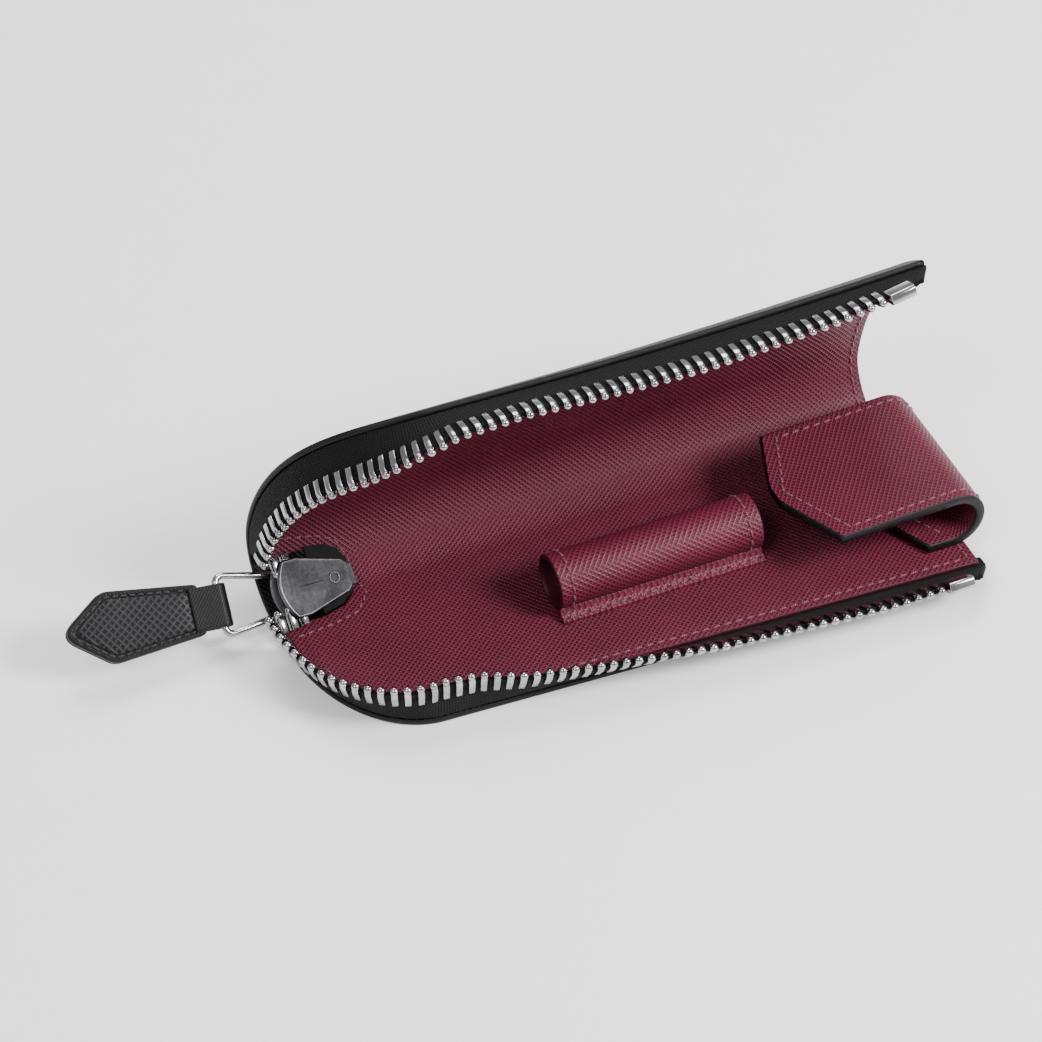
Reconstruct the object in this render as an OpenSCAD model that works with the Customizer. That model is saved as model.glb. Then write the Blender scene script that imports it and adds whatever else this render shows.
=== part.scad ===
// Zip-round leather case for one fountain pen, standing open.
// X runs along the case and +X is the open end, Y runs to the back, Z is up.
// The origin is the middle of the lower panel's underside, on the table.

/* [Leather body] */
// Distance from the origin to the open end of the leather
open_end = 76.5; // [75:0.5:78]
// Distance from the origin to the closed end of the leather
closed_end = 72.5; // [71:0.5:73]
// Distance from the origin to the front edge of the lower panel, at the open end
front = 31; // [30:0.5:32]
// Distance by which each long edge draws in per mm towards the closed end
taper = 0.05; // [0.03:0.01:0.06]
// Thickness of the outer leather
leather_t = 1.4; // [1.2:0.1:1.6]
// Thickness of the stiffening board
board_t = 0.6; // [0.5:0.1:0.8]
// Thickness of the lining leather
lining_t = 1.2; // [1.0:0.1:1.4]
// Radius of the lining inside the rolled spine
spine_r = 12; // [11:0.5:13]
// Angle above level at which the rolled spine ends and the back panel's slow curve begins
roll_end = 8; // [5:1:10]
// Radius of the lining on the slow curve of the back panel
panel_r = 57.5; // [56:0.5:62]
// Width of the back panel from the rolled spine to its top edge
back_h = 49.5; // [48:0.5:50.5]

/* [Zip fastener] */
// Width of tape and teeth that stands out of the leather
chain_h = 11.5; // [10.5:0.5:12.5]
// Distance between neighbouring teeth on one tape
pitch = 2.8; // [2.6:0.1:3.2]
// Radius of the ball on each tooth
ball_r = 0.95; // [0.8:0.05:1.0]
// Thickness of the woven tape
tape_t = 0.6; // [0.5:0.1:0.8]
// Length of tape left over past the open end
tail_l = 0.5; // [0:0.5:3]

/* [Slider and pull] */
// Length of the slider
slider_l = 15.5; // [15:0.5:17]
// Width of the slider at its mouth
slider_w = 13; // [12:0.5:13.5]
// Thickness of the slider over both plates
slider_t = 4.6; // [4.6:0.1:5]
// Diameter of the ring wire
wire_d = 1.5; // [1.2:0.1:1.6]
// Distance between the two bars of the pull ring
ring_l = 15.5; // [15:0.5:16]
// Distance from the ring's outer bar to the tab's point
tab_l = 36.2; // [35:0.2:38]
// Width of the pull tab near its point
tab_w = 15.9; // [14:0.1:16]

/* [Pen holders] */
// Length of the pen loop
loop_l = 48.5; // [40:0.5:50]
// Radius of the pen loop's bore
loop_bore_r = 5.3; // [5:0.1:5.5]
// Wall of the pen loop, with its lining
loop_wall = 1; // [0.9:0.1:1.2]
// Width of the closing tongue
tongue_w = 36.7; // [32:0.1:38]
// Outer radius of the tongue's bend
bend_r = 7.35; // [7:0.05:7.5]
// Angle at which the tongue's free end droops
droop = 2; // [0:0.5:3]

/* [Hidden] */
$fn = 48;

black = [0.07, 0.07, 0.075];
tape_black = [0.1, 0.1, 0.1];
burgundy = [0.36, 0.1, 0.2];
dark_burgundy = [0.28, 0.07, 0.15];
silver = [0.75, 0.76, 0.78];
gunmetal = [0.3, 0.3, 0.32];
board_grey = [0.55, 0.53, 0.5];

// ---- Leather body ----
wall = leather_t + board_t + lining_t;
body_l = open_end + closed_end;
spine_y = 17.5;
spine_z = spine_r + wall;
lining_inset = 0.9;
board_inset = 8;
cover = 400;

// Half-widths of the elliptical corners at the closed end: [along X, in from the long edge]
low_corner = [24, 34];
back_corner = [37, 53];

// The back panel turns about a line in the middle of the spine's wall
hinge_a = -40;
mid_r = spine_r + wall / 2;
split_gap = 1.4;
gap_a = split_gap / 2 / mid_r * 180 / PI;

// Wall layers, as distances from the outer face
leather = [0, leather_t];
board = [leather_t, leather_t + board_t];
lining = [leather_t + board_t, wall];

// The wall's cross-section: q is the distance along its middle from the spine's start
panel_out = panel_r + wall;
panel_mid = panel_r + wall / 2;
panel_c = [spine_y, spine_z] - (panel_out - spine_z) * [cos(roll_end), sin(roll_end)];
roll_l = mid_r * (roll_end + 90) * PI / 180;
top_q = roll_l + back_h;
function q_at(a) = mid_r * (a + 90) * PI / 180;
function lean(q) = q < roll_l ? q / mid_r * 180 / PI - 90
    : roll_end + (q - roll_l) / panel_mid * 180 / PI;
function section(q, h) = let(a = lean(q), u = [cos(a), sin(a)])
    q < roll_l ? [spine_y, spine_z] + (spine_z - h) * u : panel_c + (panel_out - h) * u;
function inward(q) = let(a = lean(q)) [0, -cos(a), -sin(a)];
function along_q(q) = let(a = lean(q)) [0, -sin(a), cos(a)];
function on_wall(x, q, h) = let(p = section(q, h)) [x, p[0], p[1]];

// Corner points, cut back by inset: [x, distance in from the long edge's level at the open end]
function drawn_in(x) = taper * (open_end - x);
function corner(c, inset) = let(x0 = c[0] - closed_end) [for (a = [0 : 6 : 90])
    [x0 - (c[0] - inset) * sin(a), drawn_in(x0) + c[1] - (c[1] - inset) * cos(a)]];

// Outline of the lower panel, seen from above
function low_outline(inset) = concat([[open_end - inset, spine_y + 1], [open_end - inset, inset - front]],
    [for (p = corner(low_corner, inset)) [p[0], p[1] - front]],
    [[inset - closed_end, spine_y + 1]]);

// Part of the spine's rolled wall between two angles
module spine_arc(layer, a0, a1, inset) {
    translate([inset - closed_end, spine_y, spine_z]) rotate([90, 0, 90])
        linear_extrude(body_l - 2 * inset) intersection() {
            difference() {
                circle(spine_z - layer[0], $fn = 96);
                circle(spine_z - layer[1], $fn = 96);
            }
            polygon([[0, 0], 60 * [cos(a0), sin(a0)], 60 * [cos((a0 + a1) / 2), sin((a0 + a1) / 2)],
                60 * [cos(a1), sin(a1)]]);
        }
}

module lower_sheet(layer, inset) {
    translate([0, 0, layer[0]]) linear_extrude(layer[1] - layer[0]) intersection() {
        polygon(low_outline(inset));
        translate([-cover / 2, -cover]) square([cover, cover + spine_y]);
    }
    spine_arc(layer, -90, hinge_a - gap_a, inset);
}

// Joins rings of points into one solid, all in triangles: capped at both ends, or run round in a loop
function two(a, b, c, d) = [[a, b, c], [a, c, d]];
module skin(rings, loop = false) {
    n = len(rings[0]);
    m = len(rings);
    top = (m - 1) * n;
    caps = [for (i = [0 : n / 2 - 2]) each concat(two(i, i + 1, n - 2 - i, n - 1 - i),
        two(top + n - 1 - i, top + n - 2 - i, top + i + 1, top + i))];
    sides = [for (j = [0 : loop ? m - 1 : m - 2]) for (i = [0 : n - 1])
        let(k = (i + 1) % n, e = (j + 1) % m) each two(j * n + i, e * n + i, e * n + k, j * n + k)];
    polyhedron(points = [for (r = rings) each r], faces = loop ? sides : concat(caps, sides));
}

// The back panel with its share of the spine: one ring round the sheet at each step up the wall
roll_step = 1.3;
panel_step = 2;
rim_step = 0.5;
blunt = 0.5;
module back_sheet(layer, inset) {
    x0 = back_corner[0] - closed_end;
    x1 = open_end - inset;
    level = top_q - drawn_in(x0);
    last = top_q - inset - taper * blunt;
    start = q_at(hinge_a + gap_a);
    rows = concat([for (q = [start : roll_step : roll_l]) q],
        [for (q = [roll_l + 0.5 : panel_step : level - 5]) q],
        [for (q = [level - 4.5 : rim_step : last - 0.1]) q], [last]);
    function rim_x(q) = let(d = level - q, k = (back_corner[1] - d) / (back_corner[1] - inset))
        d > back_corner[1] ? inset - closed_end
        : d > inset ? x0 - (back_corner[0] - inset) * sqrt(1 - k * k)
        : open_end - (top_q - inset - q) / taper;
    skin([for (q = rows) let(x = min(rim_x(q), x1 - blunt))
        [on_wall(x, q, layer[0]), on_wall(x, q, layer[1]),
            on_wall(x1, q, layer[1]), on_wall(x1, q, layer[0])]]);
}

// ---- Slider's place: on the spine at the closed end, mouth to the left ----
slider_at = [-68.75, 14.7, 11.45];
slider_roll = 40;
slider_pitch = 16;

module on_slider() {
    translate(slider_at) rotate([slider_roll, 0, 0]) rotate([0, slider_pitch, 0]) children();
}

// ---- Notch in the lining and board that makes room for the slider ----
notch_low = 7.9;
notch_high = 8.9;
notch_tail = 17;
module notch() {
    on_slider() translate([0, 0, -20]) linear_extrude(40) polygon([[-25, -notch_low], [8, 0.6 - notch_low],
        [notch_tail - 4, 1.7 - notch_low], [notch_tail - 0.5, 4 - notch_low],
        [notch_tail, notch_high - 5.4], [notch_tail - 1.5, notch_high - 2.4], [notch_tail - 4.5, notch_high - 0.7], [-25, notch_high]]);
}

// ---- Zip tapes ----
// One ring of points across the tape: a flat margin between the leathers, a bend, and the wall
margin = 3;
tape_z = leather_t + board_t / 2;
tape_wall = chain_h - 1.9;
function tape_section(phi, h) =
    let(w = [cos(phi), sin(phi)], n = [-sin(phi), cos(phi)], m = [-sin(phi), 1 + cos(phi)] / (1 + cos(phi)),
        t = tape_t / 2)
    [[-margin, t], m * t, h * w + n * t, h * w - n * t, -m * t, [-margin, -t]];

// Each tape's tail is trimmed off at a slant, from the stop to the leather's end
tail_cut = 6;
cut_w = 1.2;
function wall_at(x) = min(tape_wall, cut_w + (open_end + tail_l - x) * tape_wall / tail_cut);

// Stations along an edge: [point, outward direction, inward normal, angle of the tape above the panel]
edge_inset = 0.45;
station = 6;
function unit(v) = v / norm(v);
function low_phi(x) = lookup(x, [[-68, 66], [-60, 76], [-50, 88], [-42, 84], [-33, 67], [-17, 55], [12, 38],
    [50, 30], [80, 38]]);
function back_phi(x) = lookup(x, [[-68, 88], [-52, 74], [-42, 46], [-35, 30], [-20, 25], [20, 30],
    [50, 22], [80, 5]]);
function edge_run(c) = let(x0 = c[0] - closed_end) concat(
    [for (x = [open_end + tail_l : -station : x0 + 1]) [x, drawn_in(x) + edge_inset, 0, 1]],
    [for (a = [0 : 6 : 90]) let(o = unit([sin(a) / c[0], cos(a) / c[1]]), r = c - edge_inset * [1, 1])
        [x0 - r[0] * sin(a), drawn_in(x0) + c[1] - r[1] * cos(a), -o[0], o[1]]]);
function low_stations() = [for (e = edge_run(low_corner))
    [[e[0], e[1] - front, tape_z], [e[2], -e[3], 0], [0, 0, 1], low_phi(e[0])]];
function back_stations() = [for (e = edge_run(back_corner)) let(q = top_q - e[1])
    [on_wall(e[0], q, tape_z), [e[2], 0, 0] + e[3] * along_q(q), inward(q), back_phi(e[0])]];
function ring(s) = [for (p = tape_section(s[3], wall_at(s[0][0]))) s[0] + p[0] * s[1] + p[1] * s[2]];
function turned(r) = [for (i = [len(r) - 1 : -1 : 0]) r[i]];

// ---- Teeth ----
// The line of ball centres, and the line of the tape's roots
tip_h = chain_h - 1;
function tips(st) = [for (s = st) s[0] + tip_h * (cos(s[3]) * s[1] + sin(s[3]) * s[2])];
function roots(st) = [for (s = st) s[0]];

// Running length along a line of points, and the point at a given length
function runs(p, i = 0, sum = 0) = i >= len(p) - 1 ? [sum]
    : concat([sum], runs(p, i + 1, sum + norm(p[i + 1] - p[i])));
function at(p, r, s) = [for (k = [0 : 2]) lookup(s, [for (i = [0 : len(p) - 1]) [r[i], p[i][k]]])];

// A tooth clamped on the tape: two legs with a slot between them, and a ball at the tip
leg_l = 4.4;
leg_w = 1.4;
leg_t = 2.2;
slot_t = 0.7;
slot_in = 0.85;
module tooth() {
    rotate([90, 0, 90]) translate([0, 0, -leg_w / 2]) linear_extrude(leg_w)
        polygon([[-leg_l, slot_t / 2], [-slot_in, slot_t / 2],
            [-slot_in, -slot_t / 2], [-leg_l, -slot_t / 2], [-leg_l, -leg_t / 2], [-1.1, -leg_t / 2], [-0.2, -0.7], [-0.2, 0.7], [-1.1, leg_t / 2],
            [-leg_l, leg_t / 2]]);
    sphere(ball_r, $fn = 24);
}

// Places a piece at length s along a row: X runs along the chain and Y from the tape's root to the tip
module on_row(line, base, s) {
    r = runs(line);
    tip = at(line, r, s);
    d = unit(tip - at(base, r, s));
    n = unit(cross(at(line, r, s + 0.2) - at(line, r, s - 0.2), d));
    t = cross(d, n);
    multmatrix([for (k = [0 : 2]) [t[k], d[k], n[k], tip[k]]]) children();
}

module tooth_row(line, base) {
    r = runs(line);
    for (s = [first_tooth : pitch : r[len(r) - 1] - 0.3]) on_row(line, base, s) tooth();
}

// Box-shaped stop pressed on the tape's end
stop_l = 6;
stop_at_s = 11;
first_tooth = stop_at_s + stop_l / 2 + 1.7;
stop_w = 3.8;
stop_t = 2.6;
module stop_on(line, base) {
    on_row(line, base, stop_at_s) rotate([90, 0, 90]) translate([0, 0, -stop_l / 2]) linear_extrude(stop_l)
        difference() {
            translate([-stop_w + ball_r, -stop_t / 2]) square([stop_w, stop_t]);
            translate([-stop_w - 1, -slot_t / 2]) square([stop_w + 0.2, slot_t]);
        }
}

// ---- Modules, one for each piece ----
module outer_leather_lower() {
    color(black) lower_sheet(leather, 0);
}

module outer_leather_back() {
    color(black) back_sheet(leather, 0);
}

module stiffener_lower() {
    color(board_grey) difference() {
        lower_sheet(board, board_inset);
        notch();
    }
}

module stiffener_back() {
    color(board_grey) difference() {
        back_sheet(board, board_inset);
        notch();
    }
}

module lining_lower() {
    color(burgundy) difference() {
        lower_sheet(lining, lining_inset);
        notch();
    }
}

module lining_back() {
    color(burgundy) difference() {
        back_sheet(lining, lining_inset);
        notch();
    }
}

// The front tape is a mirror image of the back one, so its rings run the other way round
module tape_lower() {
    color(tape_black) skin([for (s = low_stations()) turned(ring(s))]);
}

module tape_back() {
    color(tape_black) skin([for (s = back_stations()) ring(s)]);
}

// Lower end of both tapes, lying in the notch and through the slider
tape_end_x0 = 7.4;
module tape_end() {
    color(tape_black) on_slider() translate([0, 0, -slider_t / 2 - tape_t / 2]) linear_extrude(tape_t)
        polygon([[tape_end_x0, 1 - notch_low], [notch_tail - 4.2, 2.1 - notch_low],
            [notch_tail - 0.8, 4.3 - notch_low], [notch_tail - 0.3, notch_high - 5.5], [notch_tail - 1.8, notch_high - 2.6],
            [notch_tail - 4.6, notch_high - 1.1], [tape_end_x0, notch_high - 0.4]]);
}

module teeth_lower() {
    st = low_stations();
    color(silver) tooth_row(tips(st), roots(st));
}

module teeth_back() {
    st = back_stations();
    color(silver) tooth_row(tips(st), roots(st));
}

module top_stop_lower() {
    st = low_stations();
    color(silver) stop_on(tips(st), roots(st));
}

module top_stop_back() {
    st = back_stations();
    color(silver) stop_on(tips(st), roots(st));
}

// Teeth that lead into the slider's mouth: three of the front row and two of the back row
bow_x = -3.4;
bow_in = 3.1;
bow_spread = 1.3;
module teeth_bow() {
    z = -slider_t / 2;
    color(silver) for (side = [-1, 1]) for (k = [side < 0 ? 0 : 1 : 2])
        on_slider() translate([bow_x + k * pitch, side * (bow_in + bow_spread - 0.35 * k), z])
            rotate([0, 0, side < 0 ? 0 : 180]) tooth();
}

module bottom_stop() {
    color(silver) on_slider() translate([slider_l + 0.3, -2.5, -slider_t / 2 - 1]) difference() {
        cube([1.3, 5, 2]);
        translate([-1, -1, 1 - tape_t / 2]) cube([2, 7, tape_t]);
    }
}

// Shield outline of the slider's plates, with a bowed mouth
mouth_bow = 2.4;
tail_w = 7.5;
function mouth_edge() = [for (k = [-1 : 0.25 : 1]) [mouth_bow * (k * k - 1), k * slider_w / 2]];
module shield() {
    polygon(concat(mouth_edge(), [[3.5, slider_w / 2], [slider_l - 1.2, tail_w / 2],
        [slider_l, tail_w / 2 - 1.2], [slider_l, 1.2 - tail_w / 2], [slider_l - 1.2, -tail_w / 2], [3.5, -slider_w / 2]]));
}

plate_t = 0.9;
flange_h = 0.75;
module slider_body() {
    color(gunmetal) on_slider() {
        translate([0, 0, -plate_t]) linear_extrude(plate_t) shield();
        translate([0, 0, -slider_t]) linear_extrude(plate_t) shield();
        translate([0, 0, plate_t - slider_t - 0.1]) linear_extrude(slider_t - 2 * plate_t + 0.2)
            polygon([[1.2, 0], [3.2, 1.7], [7, 0], [3.2, -1.7]]);
        for (side = [-1, 1]) for (z = [-plate_t - flange_h, plate_t - slider_t - 0.05])
            translate([0, 0, z]) linear_extrude(flange_h + 0.05)
                polygon([[8, side * 5.15], [8, side * 5.9], [slider_l - 1.4, side * tail_w / 2],
                    [slider_l - 1.4, side * (tail_w / 2 - 0.7)]]);
    }
}

// The bridge holds the ring's bar and covers the lock spring
lug_x = 2.4;
lug_z = -slider_t - 1.9;
bridge_w = 3.6;
module slider_bridge() {
    color(gunmetal) on_slider() difference() {
        translate([0, bridge_w / 2, 0]) rotate([90, 0, 0]) linear_extrude(bridge_w)
            polygon([[0.6, -slider_t], [0.6, lug_z - 1.2], [2, lug_z - 1.7], [4.5, lug_z - 1.7],
                [12.5, -slider_t - 1.1], [13, -slider_t]]);
        translate([lug_x, 10, lug_z]) rotate([90, 0, 0]) cylinder(r = wire_d / 2 + 0.3, h = 20);
        translate([5, -0.9, -slider_t - 1.2]) cube([5.5, 1.8, 1.3]);
    }
}

module lock_spring() {
    color(silver) on_slider() translate([5.2, -0.7, -slider_t - 0.75]) cube([5, 1.4, 0.3]);
}

// ---- Pull ring and tab ----
ring_pitch = -8;
ring_yaw = 5;
ring_in = 8;
ring_out = 13.4;
module on_ring() {
    on_slider() translate([lug_x, 0, lug_z])
        rotate([0, ring_pitch, 0]) rotate([0, 0, -ring_yaw]) children();
}

// The ring is one closed wire: round bends at its four corners, and a ring of points at each step
ring_bend = 1.3;
bend_steps = 4;
wire_sides = 16;
module pull_ring() {
    c = [[0, ring_in / 2], [-ring_l, ring_out / 2], [-ring_l, -ring_out / 2], [0, -ring_in / 2]];
    way = [for (i = [0 : 3]) unit(c[(i + 1) % 4] - c[i])];
    color(silver) on_ring() skin([for (i = [0 : 3]) for (k = [0 : bend_steps])
        let(before = way[(i + 3) % 4], turn = acos(way[i] * before), cut = ring_bend * tan(turn / 2),
            centre = c[i] - cut * before + ring_bend * [-before[1], before[0]],
            a = atan2(-before[0], before[1]) + turn * k / bend_steps)
        [for (j = [0 : wire_sides - 1]) let(w = -j * 360 / wire_sides, r = ring_bend + wire_d / 2 * cos(w))
            [centre[0] + r * cos(a), centre[1] + r * sin(a), wire_d / 2 * sin(w)]]], true);
}

// The tab hangs from the ring's outer bar; its point is at the far end
tab_pitch = -4;
tab_neck = 11;
strap_w = 9.5;
strap_r = 1.15;
strap_t = 0.9;
ply_t = 1;
core_t = 0.8;
module on_tab() {
    on_ring() translate([-ring_l, 0, 0]) rotate([0, tab_pitch, 0]) children();
}

tab_x = -4.2;
tab_point = 10.7;
module tab_outline(inset) {
    shoulder = tab_point - tab_l;
    polygon([[tab_x - inset, tab_neck / 2 - inset], [shoulder, tab_w / 2 - inset],
        [-tab_l + inset * 1.3, 0], [shoulder, inset - tab_w / 2], [tab_x - inset, inset - tab_neck / 2]]);
}

module pull_tab_face() {
    color(black) on_tab() translate([0, 0, core_t / 2]) linear_extrude(ply_t) tab_outline(0);
}

module pull_tab_back() {
    color(black) on_tab() translate([0, 0, -core_t / 2 - ply_t]) linear_extrude(ply_t) tab_outline(0);
}

module pull_tab_core() {
    color(board_grey) on_tab() translate([0, 0, -core_t / 2]) linear_extrude(core_t) tab_outline(1);
}

module pull_tab_strap() {
    color(black) on_tab() translate([0, strap_w / 2, 0]) rotate([90, 0, 0]) linear_extrude(strap_w)
        difference() {
        union() {
            circle(strap_r + strap_t);
            translate([tab_x, -strap_r - strap_t]) square([-tab_x, 2 * (strap_r + strap_t)]);
        }
        circle(strap_r);
    }
}

// ---- Pen loop ----
loop_x = -16;
loop_y = -4;
loop_r = loop_bore_r + loop_wall;
loop_z = wall + loop_r;
loop_lining_t = 0.45;
flange_y0 = -11.5;
flange_t = 1.8;
module tube(r_out, r_in) {
    translate([loop_x, loop_y, loop_z]) rotate([0, 90, 0]) difference() {
        cylinder(r = r_out, h = loop_l, $fn = 64);
        translate([0, 0, -1]) cylinder(r = r_in, h = loop_l + 2, $fn = 64);
    }
}

module pen_loop() {
    color(burgundy) tube(loop_r, loop_bore_r + loop_lining_t);
}

module pen_loop_lining() {
    color(dark_burgundy) tube(loop_bore_r + loop_lining_t, loop_bore_r);
}

module pen_loop_flange() {
    color(burgundy) difference() {
        translate([loop_x, flange_y0, wall]) cube([loop_l, loop_y - flange_y0, flange_t]);
        translate([loop_x - 1, loop_y, loop_z]) rotate([0, 90, 0])
            cylinder(r = loop_r, h = loop_l + 2, $fn = 64);
    }
}

// ---- Tongue ----
tongue_t = 2.35;
tongue_y0 = -23.7;
bend_x = 72.45;
bend_z = wall + bend_r;
tongue_skin = 1.2;
tongue_gap = 0.45;
tongue_gap_a = tongue_gap / 2 / bend_r * 180 / PI;
tip_x = 37.5;
tip_depth = 7.5;
leg_tip_x = 59.5;
leg_tip_depth = 9.5;

// Side outline of one leg of the tongue: an arc from a0 to a1, then straight on for run
function leg_side(r_out, r_in, a0, a1, run) =
    let(steps = 12, k = a1 > a0 ? 1 : -1, t = run * k * [-sin(a1), cos(a1)])
    concat([for (i = [0 : steps]) let(a = a0 + (a1 - a0) * i / steps) r_out * [cos(a), sin(a)]],
        [r_out * [cos(a1), sin(a1)] + t, r_in * [cos(a1), sin(a1)] + t],
        [for (i = [steps : -1 : 0]) let(a = a0 + (a1 - a0) * i / steps) r_in * [cos(a), sin(a)]]);

// One layer of a leg, with its pointed end cut out of the full width
module leg(r_out, r_in, a0, a1, x_point, depth) {
    intersection() {
        translate([bend_x, tongue_y0 + tongue_w, bend_z]) rotate([90, 0, 0]) linear_extrude(tongue_w)
            polygon(leg_side(r_out, r_in, a0, a1, bend_x - x_point + 2));
        translate([0, tongue_y0 - 1, 0]) linear_extrude(cover / 8)
            polygon([[bend_x + 20, 0], [bend_x + 20, tongue_w + 2], [x_point + depth, tongue_w + 1],
                [x_point, tongue_w / 2 + 1], [x_point + depth, 1]]);
    }
}

module lower_leg(r_out, r_in) {
    leg(r_out, r_in, -tongue_gap_a, -90, leg_tip_x, leg_tip_depth);
}

module upper_leg(r_out, r_in) {
    leg(r_out, r_in, tongue_gap_a, 90 + droop, tip_x, tip_depth);
}

module tongue_base() {
    color(burgundy) lower_leg(bend_r, bend_r - tongue_skin);
}

module tongue_base_lining() {
    color(dark_burgundy) lower_leg(bend_r - tongue_skin, bend_r - tongue_t);
}

module tongue_face() {
    color(burgundy) upper_leg(bend_r, bend_r - tongue_skin);
}

module tongue_lining() {
    color(dark_burgundy) upper_leg(bend_r - tongue_skin, bend_r - tongue_t);
}

outer_leather_lower();
outer_leather_back();
stiffener_lower();
stiffener_back();
lining_lower();
lining_back();
tape_lower();
tape_back();
tape_end();
teeth_lower();
teeth_back();
teeth_bow();
top_stop_lower();
top_stop_back();
bottom_stop();
slider_body();
slider_bridge();
lock_spring();
pull_ring();
pull_tab_face();
pull_tab_back();
pull_tab_core();
pull_tab_strap();
pen_loop();
pen_loop_lining();
pen_loop_flange();
tongue_base();
tongue_base_lining();
tongue_face();
tongue_lining();
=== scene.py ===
"""Zip-round leather pen case, standing open: soft leather, woven tape, metal zip and a leather pull tab."""
import math

import bpy
import bmesh
import numpy as np
from mathutils import Matrix, Vector


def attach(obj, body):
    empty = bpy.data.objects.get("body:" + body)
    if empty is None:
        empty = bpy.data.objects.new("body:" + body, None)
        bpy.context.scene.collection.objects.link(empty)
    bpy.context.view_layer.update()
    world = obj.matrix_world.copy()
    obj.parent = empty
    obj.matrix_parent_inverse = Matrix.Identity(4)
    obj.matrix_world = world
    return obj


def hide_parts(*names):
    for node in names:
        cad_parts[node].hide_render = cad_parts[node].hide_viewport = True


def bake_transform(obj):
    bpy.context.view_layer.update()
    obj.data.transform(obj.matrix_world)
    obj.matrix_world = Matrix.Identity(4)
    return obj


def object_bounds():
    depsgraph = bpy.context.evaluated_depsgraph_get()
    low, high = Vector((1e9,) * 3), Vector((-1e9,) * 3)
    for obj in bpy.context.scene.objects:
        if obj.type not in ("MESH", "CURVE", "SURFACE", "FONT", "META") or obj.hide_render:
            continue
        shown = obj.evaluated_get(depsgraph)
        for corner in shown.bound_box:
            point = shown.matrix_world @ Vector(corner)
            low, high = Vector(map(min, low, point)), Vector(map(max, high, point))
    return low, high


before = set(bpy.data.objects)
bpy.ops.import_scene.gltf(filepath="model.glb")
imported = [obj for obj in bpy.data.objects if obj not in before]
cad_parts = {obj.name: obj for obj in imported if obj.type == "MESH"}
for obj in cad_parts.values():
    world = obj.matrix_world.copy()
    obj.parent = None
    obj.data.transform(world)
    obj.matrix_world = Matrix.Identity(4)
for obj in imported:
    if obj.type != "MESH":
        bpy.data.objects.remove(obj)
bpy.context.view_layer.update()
MM = 0.001


# ---------------------------------------------------------------- shader expressions
class Wire:
    """One shader socket. Arithmetic on it adds the Math nodes."""

    def __init__(self, recipe, socket):
        self.recipe, self.socket = recipe, socket

    def _math(self, operation, *values):
        return self.recipe.node("ShaderNodeMath", {"operation": operation}, dict(enumerate(values)))

    def __add__(self, other):
        return self._math("ADD", self, other)

    def __sub__(self, other):
        return self._math("SUBTRACT", self, other)

    def __mul__(self, other):
        return self._math("MULTIPLY", self, other)

    def __truediv__(self, other):
        return self._math("DIVIDE", self, other)

    def __rsub__(self, other):
        return self._math("SUBTRACT", other, self)

    __radd__ = __add__
    __rmul__ = __mul__

    def sin(self):
        return self._math("SINE", self)

    def power(self, n):
        return self._math("POWER", self, n)

    def most(self, other):
        return self._math("MAXIMUM", self, other)

    def ease(self, low, high):
        return self.recipe.node("ShaderNodeMapRange", {"interpolation_type": "SMOOTHSTEP"},
                                {"Value": self, "From Min": low, "From Max": high})


class Finish:
    """A material being written."""

    def __init__(self, name, **constants):
        self.material = bpy.data.materials.new(name)
        self.material.use_nodes = True
        self.tree = self.material.node_tree
        self.tree.nodes.clear()
        self.surface = self.tree.nodes.new("ShaderNodeBsdfPrincipled")
        output = self.tree.nodes.new("ShaderNodeOutputMaterial")
        self.tree.links.new(self.surface.outputs[0], output.inputs[0])
        self.set(**constants)

    def node(self, kind, settings=None, values=None, out=0):
        made = self.tree.nodes.new(kind)
        for key, value in (settings or {}).items():
            setattr(made, key, value)
        for key, value in (values or {}).items():
            if isinstance(value, Wire):
                self.tree.links.new(value.socket, made.inputs[key])
            else:
                made.inputs[key].default_value = value
        return Wire(self, made.outputs[out])

    def set(self, **values):
        """Principled inputs by name, with _ for a space: numbers, colours or wires."""
        for key, value in values.items():
            socket = self.surface.inputs[key.replace("_", " ").title().replace("Ior", "IOR")]
            if isinstance(value, Wire):
                self.tree.links.new(value.socket, socket)
            else:
                socket.default_value = value
        return self

    def flat_coordinates(self):
        """The sheet's own flat coordinates in millimetres."""
        uv = self.node("ShaderNodeUVMap", {"uv_map": "flat"})
        return uv, *self.split(uv)

    def split(self, vector):
        made = self.tree.nodes.new("ShaderNodeSeparateXYZ")
        self.tree.links.new(vector.socket, made.inputs[0])
        return [Wire(self, made.outputs[k]) for k in range(2)]

    def noise(self, vector, scale, detail=2.0):
        return self.node("ShaderNodeTexNoise", None, {"Vector": vector, "Scale": scale, "Detail": detail})

    def blend(self, factor, first, second):
        return self.node("ShaderNodeMix", {"data_type": "RGBA"}, {0: factor, 6: first, 7: second}, out=2)

    def relief(self, height, distance, strength=1.0):
        return self.node("ShaderNodeBump", None,
                         {"Height": height, "Distance": distance, "Strength": strength})


def rgb(red, green, blue):
    """A colour given as 0-255 screen values."""
    colour = tuple(c / 255 / 12.92 if c < 10.3 else ((c / 255 + 0.055) / 1.055) ** 2.4
                   for c in (red, green, blue))
    return colour + (1.0,)


def crosshatch(finish, pitch):
    """Saffiano grain: two sets of fine diagonal ridges, broken up a little, from 0 in the pits to 1 on top."""
    uv, u, v = finish.flat_coordinates()
    drift = finish.noise(uv, 0.16) * 2.4 + finish.noise(uv, 0.9) * 0.9
    k = 2 * math.pi / pitch / math.sqrt(2)
    first = ((u * 1.12 + v * 0.88) * k + drift).sin() * 0.5 + 0.5
    second = ((u * 0.9 - v * 1.1) * k * 1.04 - drift * 0.8).sin() * 0.5 + 0.5
    broken = finish.noise(uv, 1.5, 1.0)
    ridges = first.power(1.7).most(second.power(1.7) * (0.55 + broken * 0.7))
    return uv, ridges


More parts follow.
